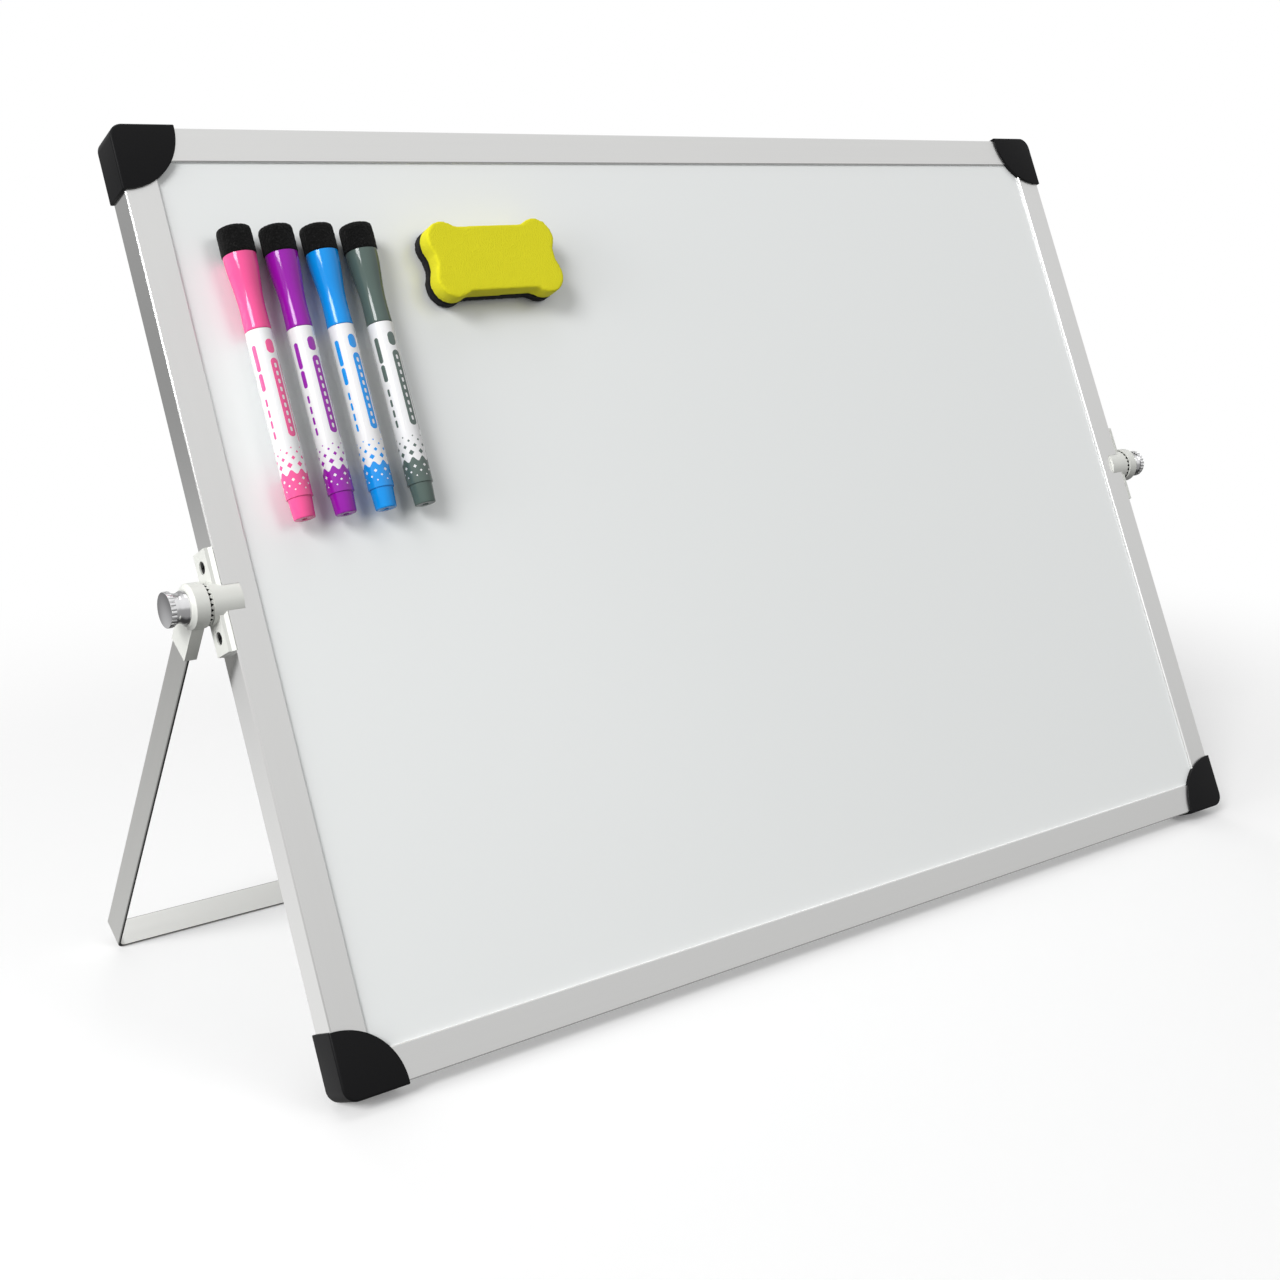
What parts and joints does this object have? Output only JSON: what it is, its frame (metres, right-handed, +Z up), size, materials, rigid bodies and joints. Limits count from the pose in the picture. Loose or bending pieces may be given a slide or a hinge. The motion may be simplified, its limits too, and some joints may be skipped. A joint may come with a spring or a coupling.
{
  "type": "magnetic desk whiteboard easel",
  "caption": "Framed dry-wipe board on a U-shaped folding stand with toothed tilt clutches and thumb screws, with magnetic markers and a magnetic eraser.",
  "frame": {"origin": "on the table, under the middle of the whole object", "axes": "+X along the board to the viewer's right, +Y from the board's front to its back, +Z up"},
  "size_m": [0.4392, 0.1596, 0.2725],
  "materials": {
    "frame_alloy": "satin anodised, fine lengthwise brush",
    "writing_enamel": "gloss white dry-wipe enamel",
    "core": "honeycomb board",
    "black_abs": "fine moulded grain",
    "white_abs": "smooth satin moulding",
    "insert_brass": "turned",
    "black_screw": "black oxide",
    "bar_metal": "brushed lengthwise",
    "knob_chrome": "polished",
    "nylon": "natural nylon",
    "marker_white": "gloss, printed",
    "marker_pink": "gloss moulding",
    "marker_purple": "gloss moulding",
    "marker_blue": "gloss moulding",
    "marker_green": "gloss moulding",
    "marker_nib": "bonded fibre",
    "ink_reservoir": "polyester wadding",
    "cap_felt": "fuzzy black felt",
    "magnet": "sintered",
    "pad_felt": "dense charcoal felt",
    "grip_foam": "fine closed-cell foam"
  },
  "bodies": {
    "board": {"frame_rail_top": "frame_alloy", "frame_rail_bottom": "frame_alloy", "frame_rail_left": "frame_alloy", "frame_rail_right": "frame_alloy", "front_sheet": "writing_enamel", "rear_sheet": "writing_enamel", "board_core": "core", "corner_cap_top_left": "black_abs", "corner_cap_top_right": "black_abs", "corner_cap_bottom_left": "black_abs", "corner_cap_bottom_right": "black_abs", "hinge_bracket_left": "white_abs", "hinge_bracket_right": "white_abs", "threaded_insert_left": "insert_brass", "threaded_insert_right": "insert_brass", "bracket_screws": "black_screw"},
    "stand": {"stand_bar": "bar_metal", "clutch_arm_left": "white_abs", "clutch_arm_right": "white_abs"},
    "ring_left": {"captive_ring_left": "nylon"},
    "screw_left": {"thumb_screw_left": "knob_chrome"},
    "ring_right": {"captive_ring_right": "nylon"},
    "screw_right": {"thumb_screw_right": "knob_chrome"},
    "marker_pink": {"marker_barrel_pink": "marker_white", "marker_plug_pink": "marker_pink", "marker_nib_pink": "marker_nib", "marker_reservoir_pink": "ink_reservoir"},
    "marker_cap_pink": {"marker_cap_pink": "marker_pink", "marker_felt_pink": "cap_felt", "marker_magnet_pink": "magnet"},
    "marker_purple": {"marker_barrel_purple": "marker_white", "marker_plug_purple": "marker_purple", "marker_nib_purple": "marker_nib", "marker_reservoir_purple": "ink_reservoir"},
    "marker_cap_purple": {"marker_cap_purple": "marker_purple", "marker_felt_purple": "cap_felt", "marker_magnet_purple": "magnet"},
    "marker_blue": {"marker_barrel_blue": "marker_white", "marker_plug_blue": "marker_blue", "marker_nib_blue": "marker_nib", "marker_reservoir_blue": "ink_reservoir"},
    "marker_cap_blue": {"marker_cap_blue": "marker_blue", "marker_felt_blue": "cap_felt", "marker_magnet_blue": "magnet"},
    "marker_green": {"marker_barrel_green": "marker_white", "marker_plug_green": "marker_green", "marker_nib_green": "marker_nib", "marker_reservoir_green": "ink_reservoir"},
    "marker_cap_green": {"marker_cap_green": "marker_green", "marker_felt_green": "cap_felt", "marker_magnet_green": "magnet"},
    "eraser": {"eraser_felt": "pad_felt", "eraser_foam": "grip_foam", "eraser_magnet": "magnet"}
  },
  "joints": [
    {"name": "stand_tilt", "type": "hinge", "parent": "board", "child": "stand", "pos_m": [0, -0.0115, 0.13718], "axis": [1, 0, 0], "continuous": true},
    {"name": "screw_left_travel", "type": "slide", "parent": "board", "child": "ring_left", "axis": [-1, 0, 0], "range_m": [0, 0.0021]},
    {"name": "screw_left_turn", "type": "hinge", "parent": "ring_left", "child": "screw_left", "pos_m": [0, -0.0115, 0.13718], "axis": [-1, 0, 0], "range_deg": [0, 1080]},
    {"name": "screw_right_travel", "type": "slide", "parent": "board", "child": "ring_right", "axis": [1, 0, 0], "range_m": [0, 0.0021]},
    {"name": "screw_right_turn", "type": "hinge", "parent": "ring_right", "child": "screw_right", "pos_m": [0, -0.0115, 0.13718], "axis": [1, 0, 0], "range_deg": [0, 1080]},
    {"name": "marker_pink_lift", "type": "slide", "parent": "board", "child": "marker_pink", "axis": [0, -0.9063, 0.4226], "range_m": [0, 0.06]},
    {"name": "marker_pink_cap_pull", "type": "slide", "parent": "marker_pink", "child": "marker_cap_pink", "axis": [0, 0.4226, 0.9063], "range_m": [0, 0.02]},
    {"name": "marker_purple_lift", "type": "slide", "parent": "board", "child": "marker_purple", "axis": [0, -0.9063, 0.4226], "range_m": [0, 0.06]},
    {"name": "marker_purple_cap_pull", "type": "slide", "parent": "marker_purple", "child": "marker_cap_purple", "axis": [0, 0.4226, 0.9063], "range_m": [0, 0.02]},
    {"name": "marker_blue_lift", "type": "slide", "parent": "board", "child": "marker_blue", "axis": [0, -0.9063, 0.4226], "range_m": [0, 0.06]},
    {"name": "marker_blue_cap_pull", "type": "slide", "parent": "marker_blue", "child": "marker_cap_blue", "axis": [0, 0.4226, 0.9063], "range_m": [0, 0.02]},
    {"name": "marker_green_lift", "type": "slide", "parent": "board", "child": "marker_green", "axis": [0, -0.9063, 0.4226], "range_m": [0, 0.06]},
    {"name": "marker_green_cap_pull", "type": "slide", "parent": "marker_green", "child": "marker_cap_green", "axis": [0, 0.4226, 0.9063], "range_m": [0, 0.02]},
    {"name": "eraser_lift", "type": "slide", "parent": "board", "child": "eraser", "axis": [0, -0.9063, 0.4226], "range_m": [0, 0.06]}
  ],
  "couplings": [
    {"joint": "screw_left_turn", "follows": "screw_left_travel", "rad_per_m": 8976},
    {"joint": "screw_right_turn", "follows": "screw_right_travel", "rad_per_m": 8976}
  ]
}
